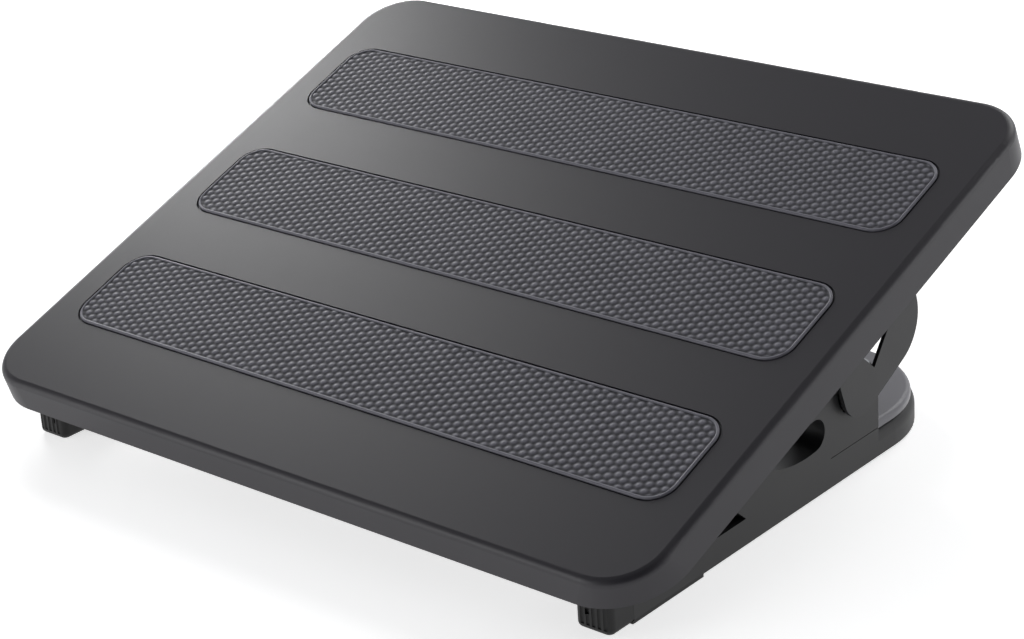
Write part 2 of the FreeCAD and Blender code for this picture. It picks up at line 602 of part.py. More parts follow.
def make_frame():
    body = new_body("base_frame", at_axis=False)
    half, wall = "Sizes.base_half", "Sizes.frame_wall"
    ahead = "(-Sizes.frame_front - 3 * Sizes.frame_corner)"
    tall = "Sizes.frame_top - Sizes.frame_low"
    outline = rounded_box(body, "FrameOutline", "XY_Plane", "Sizes.frame_low", f"-{half}", half, ahead,
                          "Sizes.frame_back", "Sizes.frame_corner")
    pad(body, "FrameBlock", outline, tall)
    step = box_outline(body, "StepOutline", "YZ_Plane", "0", f"{ahead} - 1", "-Sizes.step_back", "Sizes.rail_top",
                       "Sizes.frame_top + 1")
    cut = pocket(body, "RailStep", step, "3 * Sizes.deck_width")
    cut.Midplane = True
    doc.recompute()
    seat = box_outline(body, "CoverSeatOutline", "YZ_Plane", "0", "Sizes.bracket_back + 0.1", "Sizes.frame_back + 1",
                       "Sizes.rail_top", "Sizes.frame_top + 1")
    cut = pocket(body, "CoverSeat", seat, "3 * Sizes.deck_width")
    cut.Midplane = True
    doc.recompute()
    top, back = size("rail_top"), size("frame_back")
    sides = (size("base_half"), -size("base_half"))
    round_edges(body, "BeamEdge", "Sizes.beam_edge",
                lambda edge: near(edge.BoundBox.ZMin, top) and edge.BoundBox.YMax > size("bracket_back") + 1
                and (near(edge.BoundBox.YMax, back) or near(edge.BoundBox.XMax, sides[0])
                     or near(edge.BoundBox.XMin, sides[1])) and along(edge)[2] < 0.1)
    room = rounded_box(body, "HollowOutline", "XY_Plane", "Sizes.frame_low", f"-{half} + {wall}", f"{half} - {wall}",
                       f"{ahead} + {wall}", f"Sizes.frame_back - {wall}", f"Sizes.frame_corner - {wall}")
    pocket(body, "Hollow", room, FRAME_HOLLOW, back=True)
    block = rounded_box(body, "InnerOutline", "XY_Plane", "Sizes.frame_low", f"-{RAIL_INNER} - {wall}",
                        f"{RAIL_INNER} + {wall}", f"{ahead} + {wall}", f"Sizes.beam_front + {wall}",
                        f"Sizes.beam_corner + {wall}")
    pad(body, "InnerWall", block, FRAME_HOLLOW)
    gap = rounded_box(body, "GapOutline", "XY_Plane", "Sizes.frame_low", f"-{RAIL_INNER}", RAIL_INNER,
                      f"{ahead} - 1", "Sizes.beam_front", "Sizes.beam_corner")
    pocket(body, "Gap", gap, tall, back=True)
    trim = box_outline(body, "FrontOutline", "XY_Plane", "Sizes.frame_low", f"-{half} - 1", f"{half} + 1",
                       f"{ahead} - 2", f"-{RAIL_END}")
    pocket(body, "FrontEnd", trim, tall, back=True)
    pad(body, "FrameRibs", polygon(body, "FrameRibOutline", "XY_Plane", "Sizes.frame_low", *frame_ribs()), FRAME_HOLLOW)
    spine = box_outline(body, "SpineOutline", "XY_Plane", "Sizes.frame_low", "-138", "138", "59.1", "60.9")
    pad(body, "Spine", spine, FRAME_HOLLOW)
    add_posts(body)
    feet = [("-Sizes.foot_across", "Sizes.foot_along"), ("Sizes.foot_across", "Sizes.foot_along")]
    pad(body, "FootBosses", circles(body, "FootBossOutline", "XY_Plane", "Sizes.frame_low", feet, "2 * Sizes.foot_stem"),
        FRAME_HOLLOW)
    stems = circles(body, "FootHoleOutline", "XY_Plane", "Sizes.frame_low", feet, "Sizes.foot_stem + 0.3")
    pocket(body, "FootHoles", stems, "9", back=True)
    pegs = circles(body, "PegHoleOutline", "XY_Plane", "Sizes.frame_top", PEGS, "Sizes.peg_radius + 0.3")
    pocket(body, "PegHoles", pegs, f"{tall} - {FRAME_HOLLOW}")
    places = [(f"{side} * (Sizes.base_half - 10)", along_y) for side in (1, -1) for along_y in BRACKET_SCREWS]
    holes = circles(body, "BracketHoleOutline", "XY_Plane", "Sizes.frame_top", places,
                    "Sizes.screw_shank + Sizes.screw_room")
    pocket(body, "BracketHoles", holes, f"{tall} - {FRAME_HOLLOW}")


def frame_ribs():
    """Outlines of the cross ribs in the rails and of the ribs in the rear beam."""
    ribs = []
    near_side, far_side = f"({RAIL_INNER} + 0.5)", "(Sizes.base_half - 0.5)"
    for k in range(7):
        start = f"-{RAIL_END} + {k} * Sizes.frame_rib_pitch"
        ribs.append(box_corners(near_side, far_side, start, f"{start} + 1.8"))
        ribs.append(box_corners(f"-{far_side}", f"-{near_side}", start, f"{start} + 1.8"))
    for k in range(-3, 4):
        middle = f"{k} * 43.3"
        ribs.append(box_corners(f"{middle} - 0.9", f"{middle} + 0.9", "Sizes.beam_front + 0.5",
                                "Sizes.frame_back - 0.5"))
    return ribs


def add_posts(body):
    """The narrow posts at the front of the rails, inside the boots, cut to the slope of the deck."""
    low, high = f"({RAIL_INNER} + Sizes.boot_wall + 0.5)", "(Sizes.base_half - Sizes.boot_wall - 0.1)"
    ends = ("-Sizes.frame_front", f"-{RAIL_END} + 1")
    posts = [box_corners(low, high, *ends), box_corners(f"-{high}", f"-{low}", *ends)]
    pad(body, "Posts", polygon(body, "PostOutline", "XY_Plane", "Sizes.frame_low", *posts),
        "Sizes.post_top - Sizes.frame_low")


# Rear cover: a plate on the rear beam with six pegs through its top

def make_cover():
    body = new_body("rear_cover", at_axis=False)
    half = "(Sizes.base_half - Sizes.cover_inset)"
    ahead = "(Sizes.beam_front - 2 * Sizes.frame_corner)"
    outline = rounded_box(body, "CoverOutline", "XY_Plane", "Sizes.rail_top", f"-{half}", half, ahead,
                          "Sizes.frame_back - Sizes.cover_inset", "Sizes.frame_corner - Sizes.cover_inset")
    pad(body, "CoverPlate", outline, "Sizes.cover_thick")
    trim = box_outline(body, "CoverFrontOutline", "XY_Plane", "Sizes.rail_top", f"-{half} - 1", f"{half} + 1",
                       f"{ahead} - 1", "Sizes.beam_front + 0.3")
    pocket(body, "CoverFront", trim, "Sizes.cover_thick + 1", back=True)
    top = size("rail_top") + size("cover_thick")
    round_edges(body, "CoverEdge", "Sizes.cover_edge", lambda edge: edge.BoundBox.ZMin > top - 0.01)
    length = f"Sizes.frame_top - Sizes.frame_low - {FRAME_HOLLOW} - 0.3"
    pad(body, "Pegs", circles(body, "PegOutline", "XY_Plane", "Sizes.frame_top + 0.5", PEGS, "Sizes.peg_radius"),
        f"{length} + 0.5", back=True)
    pilots = circles(body, "PegPilotOutline", "XY_Plane", "Sizes.frame_top + 1", PEGS,
                     "Sizes.screw_shank + Sizes.run_gap")
    pocket(body, "PegPilots", pilots, f"{length} + 2")


# Brackets: moulded uprights on the rails, hollow from the inner side

def make_bracket(side):
    tag = "right" if side > 0 else "left"
    body = new_body("bracket_" + tag, at_axis=False)
    inner = f"{side} * (Sizes.base_half - Sizes.bracket_thick)"
    outer = f"{side} * Sizes.base_half"
    back, toe, wall, floor = "Sizes.bracket_back", "Sizes.bracket_toe", "Sizes.bracket_wall", "Sizes.frame_top"
    turn = "Sizes.bracket_round"
    seam = f"{floor} + Sizes.bracket_seam"
    outline = polygon(body, f"BracketOutline{tag}", "YZ_Plane", inner,
                      [(back, seam), (back, "Sizes.axis_height - 6.2"),
                       (f"{turn} * cos(24)", f"Sizes.axis_height + {turn} * sin(24)"),
                       (f"{turn} * cos(24)", f"Sizes.axis_height + {turn}"), ("0", f"Sizes.axis_height + {turn}"),
                       (f"-{toe} + 9", "57"), (f"-{toe}", "50"), (f"-{toe}", "22"), ("-94", "Sizes.rail_top"),
                       ("-Sizes.step_back", "Sizes.rail_top"), ("-Sizes.step_back", floor), ("-21.5", floor),
                       ("-21.5", seam)])
    pad(body, f"BracketBlock{tag}", outline, "Sizes.bracket_thick", back=side < 0)
    upper = "(57 - Sizes.bracket_wall)"
    room = polygon(body, f"BracketHollowOutline{tag}", "YZ_Plane", inner,
                   [(f"{back} - {wall}", f"{floor} + {wall}"), (f"{back} - {wall}", "Sizes.axis_height - 12"),
                    ("2", "Sizes.axis_height - 10"), ("-8", "Sizes.axis_height + 8"),
                    (f"-{toe} + 10", upper), (f"-{toe} + {wall}", "49"), (f"-{toe} + {wall}", "23"),
                    ("-92.5", f"Sizes.rail_top + {wall}"), (f"-Sizes.step_back + {wall}", f"Sizes.rail_top + {wall}"),
                    (f"-Sizes.step_back + {wall}", f"{floor} + {wall}")])
    pocket(body, f"BracketHollow{tag}", room, f"Sizes.bracket_thick - 3", back=side > 0)
    hub = circles(body, f"HubOutline{tag}", "YZ_Plane", inner, [("0", "Sizes.axis_height")], turn)
    pad(body, f"Hub{tag}", hub, "Sizes.bracket_thick", back=side < 0)
    ring_room = bean(body, f"BeanWallOutline{tag}", inner, "Sizes.bean_radius + Sizes.bracket_wall")
    pad(body, f"BeanWall{tag}", ring_room, "Sizes.bracket_thick - 1", back=side < 0)
    webs = [box_corners(f"{along_y} - 4.8", f"{along_y} + 4.8", "Sizes.rail_top + 0.5" if k == 0 else f"{floor} + 0.5", "28")
            for k, along_y in enumerate(BRACKET_SCREWS)]
    pad(body, f"ScrewBlocks{tag}", polygon(body, f"ScrewBlockOutline{tag}", "YZ_Plane", inner, *webs),
        "Sizes.bracket_thick - 1", back=side < 0)
    slot = bean(body, f"BeanOutline{tag}", inner, "Sizes.bean_radius")
    pocket(body, f"Bean{tag}", slot, "Sizes.bracket_thick + 1", back=side > 0)
    recess = circles(body, f"RecessOutline{tag}", "YZ_Plane", outer, [("0", "Sizes.axis_height")], "Sizes.recess_radius")
    pocket(body, f"Recess{tag}", recess, "Sizes.recess_deep", back=side < 0)
    mouth = polygon(body, f"MouthOutline{tag}", "YZ_Plane", outer,
                    box_corners("8", "30", "Sizes.axis_height - 1", "Sizes.axis_height + 30"))
    pocket(body, f"Mouth{tag}", mouth, "Sizes.recess_deep", back=side < 0)
    bore = circles(body, f"BushBoreOutline{tag}", "YZ_Plane", inner, [("0", "Sizes.axis_height")],
                   "Sizes.pin_radius + 2 * Sizes.run_gap + Sizes.bush_wall")
    pocket(body, f"BushBore{tag}", bore, "Sizes.bracket_thick", back=side > 0)
    pilots = circles(body, f"BracketPilotOutline{tag}", "XY_Plane", "Sizes.rail_top",
                     [(f"{side} * (Sizes.base_half - 10)", along_y) for along_y in BRACKET_SCREWS],
                     "Sizes.screw_shank + Sizes.run_gap")
    pocket(body, f"BracketPilots{tag}", pilots, "10.5", back=True)


def bean(body, name, offset, radius):
    """A slot along an arc: two round ends joined by two arcs about a centre above the slot."""
    sweep = size("bean_sweep")
    centre = V(-43, size("bean_up") + math.sqrt(sweep ** 2 - (43 - size("bean_back")) ** 2), 0)
    own = size("bean_radius") + (size("bracket_wall") if "wall" in radius else 0)
    a = math.atan2(size("bean_up") - centre.y, -size("bean_back") - centre.x)
    b = -math.pi / 2 - math.asin((size("bean_front") - 43) / sweep)
    ends = [centre + V(sweep * math.cos(t), sweep * math.sin(t), 0) for t in (b, a)]
    sketch = new_sketch(body, name, "YZ_Plane", offset)
    up = V(0, 0, 1)
    sketch.addGeometry(Part.ArcOfCircle(Part.Circle(centre, up, sweep + own), b, a), False)
    sketch.addGeometry(Part.ArcOfCircle(Part.Circle(ends[1], up, own), a, a + math.pi), False)
    sketch.addGeometry(Part.ArcOfCircle(Part.Circle(centre, up, sweep - own), b, a), False)
    sketch.addGeometry(Part.ArcOfCircle(Part.Circle(ends[0], up, own), b + math.pi, b + 2 * math.pi), False)
    for first, at_first, second, at_second in ((0, 2, 1, 1), (1, 2, 2, 2), (2, 1, 3, 1), (3, 2, 0, 1)):
        sketch.addConstraint(Sketcher.Constraint("Tangent", first, at_first, second, at_second))
    sketch.addConstraint(Sketcher.Constraint("Coincident", 0, 3, 2, 3))
    for arc, words, number in ((0, f"Sizes.bean_sweep + {radius}", sweep + own), (1, radius, own)):
        index = sketch.addConstraint(Sketcher.Constraint("Radius", arc, number))
        sketch.setExpression(f"Constraints[{index}]", words)
    bind(sketch, "DistanceX", 0, 3, "-43", -43)
    bind(sketch, "DistanceY", 1, 3, "Sizes.bean_up", ends[1].y)
    bind(sketch, "DistanceX", 1, 3, "-Sizes.bean_back", ends[1].x)
    bind(sketch, "DistanceX", 3, 3, "-Sizes.bean_front", ends[0].x)
    return sketch


# Front boots: fluted rubber caps on the posts, with a sole under the rail and a pad for the deck

def make_boot(side):
    tag = "right" if side > 0 else "left"
    body = new_body("front_boot_" + tag, at_axis=False)
    inner, outer = f"({RAIL_INNER} - Sizes.boot_lip)", "Sizes.base_half"
    left, right = (inner, outer) if side > 0 else (f"-{outer}", f"-{inner}")
    back = f"(-{RAIL_END} - 0.1)"
    outline = box_outline(body, f"BootOutline{tag}", "XY_Plane", "0", left, right, "-Sizes.boot_front", back)
    pad(body, f"BootBlock{tag}", outline, "45")
    front = -size("boot_front")
    round_edges(body, f"BootCorners{tag}", "Sizes.boot_corner",
                lambda edge: near(edge.BoundBox.YMax, front) and along(edge)[2] > 30)
    round_edges(body, f"BootSole{tag}", "Sizes.boot_edge",
                lambda edge: edge.BoundBox.ZMax < 0.01 and edge.BoundBox.YMin < front + size("boot_corner") - 0.1)
    rest = "(Sizes.deck_rise - Sizes.rib_drop - Sizes.rest_gap)"
    slope = f"Sizes.axis_height + {rest} / cos(Sizes.deck_tilt) + tan(Sizes.deck_tilt) *"
    top = polygon(body, f"BootTopOutline{tag}", "YZ_Plane", "0",
                  [("-Sizes.boot_front - 1", f"{slope} (-Sizes.boot_front - 1)"), ("-150", f"{slope} (-150)"),
                   ("-150", "80"), ("-Sizes.boot_front - 1", "80")])
    pocket(body, f"BootTop{tag}", top, "Sizes.deck_width", back=side > 0)
    low, high = f"({RAIL_INNER} + Sizes.boot_wall + 0.4)", "(Sizes.base_half - Sizes.boot_wall)"
    near_x, far_x = (low, high) if side > 0 else (f"-{high}", f"-{low}")
    room = box_outline(body, f"PostRoomOutline{tag}", "XY_Plane", "Sizes.frame_low - 0.1", near_x, far_x,
                       "-Sizes.frame_front - 0.1", f"{back} + 1")
    pocket(body, f"PostRoom{tag}", room, "Sizes.post_top - Sizes.frame_low + 0.2", back=True)
    sole = box_outline(body, f"SoleOutline{tag}", "XY_Plane", "0", left, right, f"{back} - 1", "-Sizes.boot_back")
    pad(body, f"Sole{tag}", sole, "Sizes.sole_thick")
    places = [(f"{side} * (Sizes.base_half - 3.1 - {k} * Sizes.flute_pitch)", "-Sizes.boot_front - 0.35") for k in range(5)]
    flutes = circles(body, f"FluteOutline{tag}", "XY_Plane", "3", places, "Sizes.flute_radius")
    pocket(body, f"Flutes{tag}", flutes, "60", back=True)
    vent = box_outline(body, f"VentOutline{tag}", "XZ_Plane", "Sizes.boot_front - 1.5", f"{side} * 186 - 1",
                       f"{side} * 186 + 1", "8.5", "11.5")
    pocket(body, f"Vent{tag}", vent, "3", back=True)


# Rear feet: rubber discs with a stem pressed into the frame

def make_foot(side):
    tag = "right" if side > 0 else "left"
    body = new_body("rear_foot_" + tag, at_axis=False)
    place = [(f"{side} * Sizes.foot_across", "Sizes.foot_along")]
    pad(body, f"FootDisc{tag}", circles(body, f"FootOutline{tag}", "XY_Plane", "0", place, "Sizes.foot_radius"),
        "Sizes.sole_thick")
    pad(body, f"FootStem{tag}", circles(body, f"StemOutline{tag}", "XY_Plane", "0", place, "Sizes.foot_stem"), "9.5")


make_frame()
make_cover()
make_screws("cover_screws", PEGS, f"Sizes.frame_low + {FRAME_HOLLOW}", "6")
for side, tag in ((1, "right"), (-1, "left")):
    make_ear(side)
    make_pivot(side)
    make_bracket(side)
    make_boot(side)
    make_foot(side)
    make_screws("ear_screws_" + tag, [(f"{side} * ({SCREW_X})", along_y) for along_y in EAR_SCREWS],
                "Sizes.deck_rise - Sizes.ear_seat - Sizes.ear_thick", "8.4", tilted=True)
    make_screws("bracket_screws_" + tag, [(f"{side} * (Sizes.base_half - 10)", along_y) for along_y in BRACKET_SCREWS],
                f"Sizes.frame_low + {FRAME_HOLLOW}", "12")
make_tread("tread_front", -1)
make_tread("tread_middle", 0)
make_tread("tread_rear", 1)
make_deck()
doc.recompute()

# Checks and export
for item in doc.Objects:
    if "Invalid" in item.State or "Error" in item.State:
        raise RuntimeError(f"{item.Name} is in state {item.State}")
for item in nodes:
    if item.Shape.isNull() or not item.Shape.isValid():
        raise RuntimeError(f"{item.Name} has no sound shape")
os.makedirs("parts", exist_ok=True)
for item in nodes:
    item.Shape.exportStep(f"parts/{item.Name}.step")
    box = item.Shape.BoundBox
    print(f"{item.Name:24s} {len(item.Shape.Solids)} solids  volume {item.Shape.Volume:10.0f}  "
          f"X {box.XMin:7.1f} {box.XMax:7.1f}  Y {box.YMin:7.1f} {box.YMax:7.1f}  Z {box.ZMin:6.1f} {box.ZMax:6.1f}")
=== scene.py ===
"""Looks of a tilting under desk footrest: moulded deck, rubber treads, steel ears and a low U-shaped base."""

import json
import math

import bpy
import numpy as np
from mathutils import Matrix, Vector


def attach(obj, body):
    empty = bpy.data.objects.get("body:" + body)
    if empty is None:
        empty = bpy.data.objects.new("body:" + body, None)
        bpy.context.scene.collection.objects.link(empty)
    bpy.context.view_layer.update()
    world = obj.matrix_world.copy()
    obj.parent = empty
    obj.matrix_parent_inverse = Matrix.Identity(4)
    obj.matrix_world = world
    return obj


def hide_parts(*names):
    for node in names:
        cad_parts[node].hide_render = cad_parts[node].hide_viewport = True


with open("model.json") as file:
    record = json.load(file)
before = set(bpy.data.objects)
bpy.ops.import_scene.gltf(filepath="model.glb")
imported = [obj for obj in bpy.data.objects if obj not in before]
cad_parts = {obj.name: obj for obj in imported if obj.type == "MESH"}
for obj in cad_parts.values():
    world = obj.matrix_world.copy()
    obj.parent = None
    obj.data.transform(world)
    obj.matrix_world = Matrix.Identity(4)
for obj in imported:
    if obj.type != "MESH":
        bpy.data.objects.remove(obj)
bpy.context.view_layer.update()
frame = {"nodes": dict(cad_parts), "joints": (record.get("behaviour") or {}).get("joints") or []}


# Photo table: a pale paper sweep in a pale room, with four softboxes and the photo's camera.
# The paper and the room show as white to the camera. For the object the room is bright near the horizon,
# dim overhead and dark towards the front right, and the left softbox lays a sheen over the deck's left end.

LENS_MM = 92.44
SENSOR_MM = 36.0
CAMERA_PLACE = Vector((0.8698, -0.9601, 0.6037))
CAMERA_RIGHT = Vector((0.76009, 0.64677, -0.06292))
CAMERA_BACK = Vector((0.61497, -0.68467, 0.39122))
FLOOR_HALF = 6.0
PAPER_GLOW = 0.7                    # added to the paper as the camera and reflections see it
WALL = (0.25, 0.8)                  # sine of the elevation up to which the wall is bright, and its strength
CEILING = (0.7, 0.25)               # sine of the elevation from which the ceiling is dim, and its strength
DARK_SIDE = (0.58, -0.64, 0.50)     # towards the unlit part of the room
DARK_RIM = (0.55, 1.0)              # cosine of the angle from there where it starts, and the share of light
DARK_CORE = (0.85, 0.04)            # cosine within which it is darkest, and the share of light
SOFTBOXES = (
    # name, place, aim, width in metres, watts
    ("left_softbox", (-1.26, 0.62, 0.60), (-0.15, 0.10, 0.12), 0.45, 10.0),
    ("rear_softbox", (0.10, 1.60, 1.20), (0.0, 0.0, 0.10), 1.2, 9.0),
    ("right_softbox", (1.20, 0.90, 0.50), (0.15, 0.1, 0.05), 0.8, 2.5),
    ("front_softbox", (-0.90, -1.40, 0.30), (0.0, -0.15, 0.03), 0.8, 4.0),
)


def linear(hex_colour):
    """sRGB hex to linear RGBA: a channel is c/12.92 below 0.04045, else ((c + 0.055)/1.055)^2.4."""
    channels = np.array([int(hex_colour[k:k + 2], 16) for k in (1, 3, 5)]) / 255
    low, high = channels / 12.92, ((channels + 0.055) / 1.055) ** 2.4
    return (*np.where(channels < 0.04045, low, high), 1.0)


def node(tree, kind, settings=None, inputs=None):
    """Adds one shader node; settings are its properties, and inputs are values or other nodes' sockets."""
    item = tree.nodes.new(kind)
    for name, value in (settings or {}).items():
        setattr(item, name, value)
    for name, value in (inputs or {}).items():
        if isinstance(value, bpy.types.NodeSocket):
            tree.links.new(value, item.inputs[name])
        else:
            item.inputs[name].default_value = value
    return item


def ramp(tree, value, start, end):
    """Maps a value from one (value, result) pair to another, held beyond both."""
    return node(tree, "ShaderNodeMapRange", inputs={
        "Value": value, "From Min": start[0], "From Max": end[0],
        "To Min": start[1], "To Max": end[1]}).outputs[0]


def paper_material():
    """Pale paper: plain diffuse for the object's light, with a glow for camera and glossy rays."""
    material = bpy.data.materials.new("pale_paper_sweep")
    material.use_nodes = True
    tree = material.node_tree
    tree.nodes.clear()
    path = node(tree, "ShaderNodeLightPath")
    paper = node(tree, "ShaderNodeBsdfDiffuse", inputs={"Color": linear("#ededed")})
    glow = node(tree, "ShaderNodeEmission", inputs={"Color": linear("#ffffff"), "Strength": PAPER_GLOW})
    seen = node(tree, "ShaderNodeMath", {"operation": "MAXIMUM"},
                {0: path.outputs["Is Camera Ray"], 1: path.outputs["Is Glossy Ray"]})
    both = node(tree, "ShaderNodeAddShader", inputs={0: paper.outputs[0], 1: glow.outputs[0]})
    mix = node(tree, "ShaderNodeMixShader",
               inputs={0: seen.outputs[0], 1: paper.outputs[0], 2: both.outputs[0]})
    node(tree, "ShaderNodeOutputMaterial", inputs={"Surface": mix.outputs[0]})
    return material


def pale_room():
    """World light by direction: wall to ceiling by elevation, times the dark side's share."""
    world = bpy.data.worlds.new("pale_room")
    world.use_nodes = True
    tree = world.node_tree
    tree.nodes.clear()
    path = node(tree, "ShaderNodeLightPath")
    ray = node(tree, "ShaderNodeTexCoord").outputs["Generated"]
    height = node(tree, "ShaderNodeSeparateXYZ", inputs={0: ray})
    facing = node(tree, "ShaderNodeVectorMath", {"operation": "DOT_PRODUCT"}, {0: ray, 1: DARK_SIDE})
    level = node(tree, "ShaderNodeMath", {"operation": "MULTIPLY"},
                 {0: ramp(tree, height.outputs["Z"], WALL, CEILING),
                  1: ramp(tree, facing.outputs["Value"], DARK_RIM, DARK_CORE)})
    room = node(tree, "ShaderNodeBackground",
                inputs={"Color": linear("#f6f7fa"), "Strength": level.outputs[0]})
    white = node(tree, "ShaderNodeBackground", inputs={"Color": linear("#ffffff"), "Strength": 1.0})
    mix = node(tree, "ShaderNodeMixShader",
               inputs={0: path.outputs["Is Camera Ray"], 1: room.outputs[0], 2: white.outputs[0]})
    node(tree, "ShaderNodeOutputWorld", inputs={"Surface": mix.outputs[0]})
    return world


mesh = bpy.data.meshes.new("floor")
corners = [(x * FLOOR_HALF, y * FLOOR_HALF, 0.0) for x, y in ((-1, -1), (1, -1), (1, 1), (-1, 1))]
mesh.from_pydata(corners, [], [(0, 1, 2, 3)])
mesh.materials.append(paper_material())
floor = bpy.data.objects.new("floor", mesh)
bpy.context.scene.collection.objects.link(floor)
bpy.context.scene.world = pale_room()

for name, place, aim, span, watts in SOFTBOXES:
    lamp = bpy.data.lights.new(name, "AREA")
    lamp.shape = "DISK"
    lamp.size = span
    lamp.energy = watts
    holder = bpy.data.objects.new(name, lamp)
    holder.location = place
    holder.rotation_euler = (Vector(aim) - Vector(place)).to_track_quat("-Z", "Y").to_euler()
    bpy.context.scene.collection.objects.link(holder)

camera = bpy.data.cameras.new("photo_camera")
camera.lens = LENS_MM
camera.sensor_width = SENSOR_MM
camera.clip_end = 50.0
holder = bpy.data.objects.new("photo_camera", camera)
back = CAMERA_BACK.normalized()
right = (CAMERA_RIGHT - back * CAMERA_RIGHT.dot(back)).normalized()
turn = Matrix((right, back.cross(right), back)).transposed()
holder.matrix_world = Matrix.Translation(CAMERA_PLACE) @ turn.to_4x4()
bpy.context.scene.collection.objects.link(holder)
bpy.context.scene.camera = holder
bpy.context.scene.view_settings.view_transform = "Standard"


# Deck: one big moulding with a leaning skirt, three recesses and a grid of ribs underneath.
# It is injection-moulded ABS, dark grey, with the fine spark-eroded grain that gives such plastics their
# satin sheen. Its tone drifts very slightly over patches some 60 mm wide.

NOISE_SPREAD = (0.3, 0.7)       # the part of a noise's range that most of it fills


def surface(name):
    """A new material with its node tree, its shader and the object's own coordinates."""
    material = bpy.data.materials.new(name)
    material.use_nodes = True
    tree = material.node_tree
    where = node(tree, "ShaderNodeTexCoord").outputs["Object"]
    return material, tree, tree.nodes["Principled BSDF"], where


def noise(tree, where, per_metre, detail, low, high):
    """Noise of a given number of cells in a metre, over most of its range from low to high."""
    cells = node(tree, "ShaderNodeTexNoise", inputs={"Vector": where, "Scale": per_metre, "Detail": detail})
    ends = zip(NOISE_SPREAD, (low, high))
    return ramp(tree, cells.outputs["Fac"], *ends)


def roughen(tree, shader, where, per_metre, depth):
    """Puts a fine noise's bump, of a depth in metres, on the shader."""
    grain = node(tree, "ShaderNodeTexNoise", inputs={"Vector": where, "Scale": per_metre, "Detail": 2.0})
    bump = node(tree, "ShaderNodeBump", inputs={
        "Strength": 1.0, "Distance": depth, "Height": grain.outputs["Fac"]})
    tree.links.new(bump.outputs[0], shader.inputs["Normal"])


def moulded_plastic(name, hex_colour, roughness, grain_mm=0.45, depth_mm=0.02, patch_mm=60.0):
    """Grained plastic: a bump at the grain's size, and wide, faint patches in the tone and the roughness."""
    material, tree, shader, where = surface(name)
    tone = noise(tree, where, 1000 / patch_mm, 4.0, 0.97, 1.03)
    tint = node(tree, "ShaderNodeVectorMath", {"operation": "SCALE"},
                {0: linear(hex_colour)[:3], "Scale": tone})
    tree.links.new(tint.outputs[0], shader.inputs["Base Color"])
    spread = noise(tree, where, 1000 / patch_mm, 4.0, roughness + 0.01, roughness - 0.01)
    tree.links.new(spread, shader.inputs["Roughness"])
    roughen(tree, shader, where, 1000 / grain_mm, depth_mm / 1000)
    shader.inputs["IOR"].default_value = 1.5
    return material


def dress(material, *names):
    """Puts one material on CAD nodes."""
    for name in names:
        mesh = frame["nodes"][name].data
        mesh.materials.clear()
        mesh.materials.append(material)


dress(moulded_plastic("grained_abs_dark_grey", "#343238", 0.43), "deck")


# Treads: three rubber strips pressed into the deck's recesses, which turn with the deck.
# They are moulded rubber, lighter and duller than the deck. A lattice of raised, rounded diamonds leaves a
# narrow plain border, with painted shade in the hollows between them and a painted highlight on their tops.

TILT = math.radians(19.75)      # slope of the deck as shown
AXIS = frame["joints"][0]["pos_m"][1:]      # tilt axis: along Y and above the floor
DECK_RISE = 0.05965             # tilt axis to the deck's top face
TREAD_MIDDLE = -0.0238          # middle of the middle tread, from the tilt axis along the deck
TREAD_PITCH = 0.1005
TREAD_HALF = (0.2043, 0.02905)  # half length and half depth of a tread, inside a dark groove 1.2 mm wide
TREAD_CORNER = 0.0138
TREAD_EDGE = 0.0005             # rounding of the upper edge
TREAD_PROUD = 0.0006            # top of the diamonds above the deck
TREAD_SUNK = 0.0012             # underside below the deck
DIAMOND = (0.0091, 0.0049)      # diagonals of a diamond, across and along the deck
DIAMOND_TALL = 0.0005
BORDER = 0.0016                 # plain border round the diamonds
BORDER_FALL = 0.0004            # width of its slope down to the hollows
DIAMOND_FADE = 0.0006           # width over which the diamonds rise to their height
STEP = 0.0006                   # spacing of the grid
MOTTLE = 45.0                   # patches of tone in a metre
SKIN = 2500.0                   # bumps of the rubber's skin in a metre
SKIN_DEEP = 0.00002
# the darkest tone is painted shade in the hollows, the lightest a painted highlight on the diamonds' tops
HOLLOW_PAINTED_SHADE = (0.05, "#3a3a40")      # relief up to which the rubber has its darkest tone, and that tone
TOP_PAINTED_HIGHLIGHT = (0.65, "#84838d")         # relief from which it has its lightest


def border_distance(x, s):
    """Distance inwards from a rounded rectangle's outline: with r the corner radius and q = |p| - half + r on
    each axis, it is r - |max(q, 0)| - min(max(q), 0)."""
    over = np.stack([np.abs(x) - TREAD_HALF[0] + TREAD_CORNER, np.abs(s) - TREAD_HALF[1] + TREAD_CORNER])
    outside = np.hypot(*np.maximum(over, 0))
    return TREAD_CORNER - outside - np.minimum(over.max(axis=0), 0)


def diamonds(x, s):
    """Relief of the lattice, 0 to 1: with a and b the diagonals, p = x/a + s/b and q = x/a - s/b, it is
    (1.5 + cos(2 pi p) + cos(2 pi q) + cos(2 pi (p + q)))/4.5, with a stud where p and q are whole."""
    p, q = x / DIAMOND[0] + s / DIAMOND[1], x / DIAMOND[0] - s / DIAMOND[1]
    waves = np.cos(2 * math.pi * p) + np.cos(2 * math.pi * q) + np.cos(2 * math.pi * (p + q))
    return np.clip((1.5 + waves) / 4.5, 0, 1)


def to_world(x, s, w):
    """Places across, along and above the deck, seen from the tilt axis, in the frame's axes."""
    return np.stack([x, AXIS[0] + s * math.cos(TILT) - w * math.sin(TILT),
                     AXIS[1] + s * math.sin(TILT) + w * math.cos(TILT)], axis=-1)


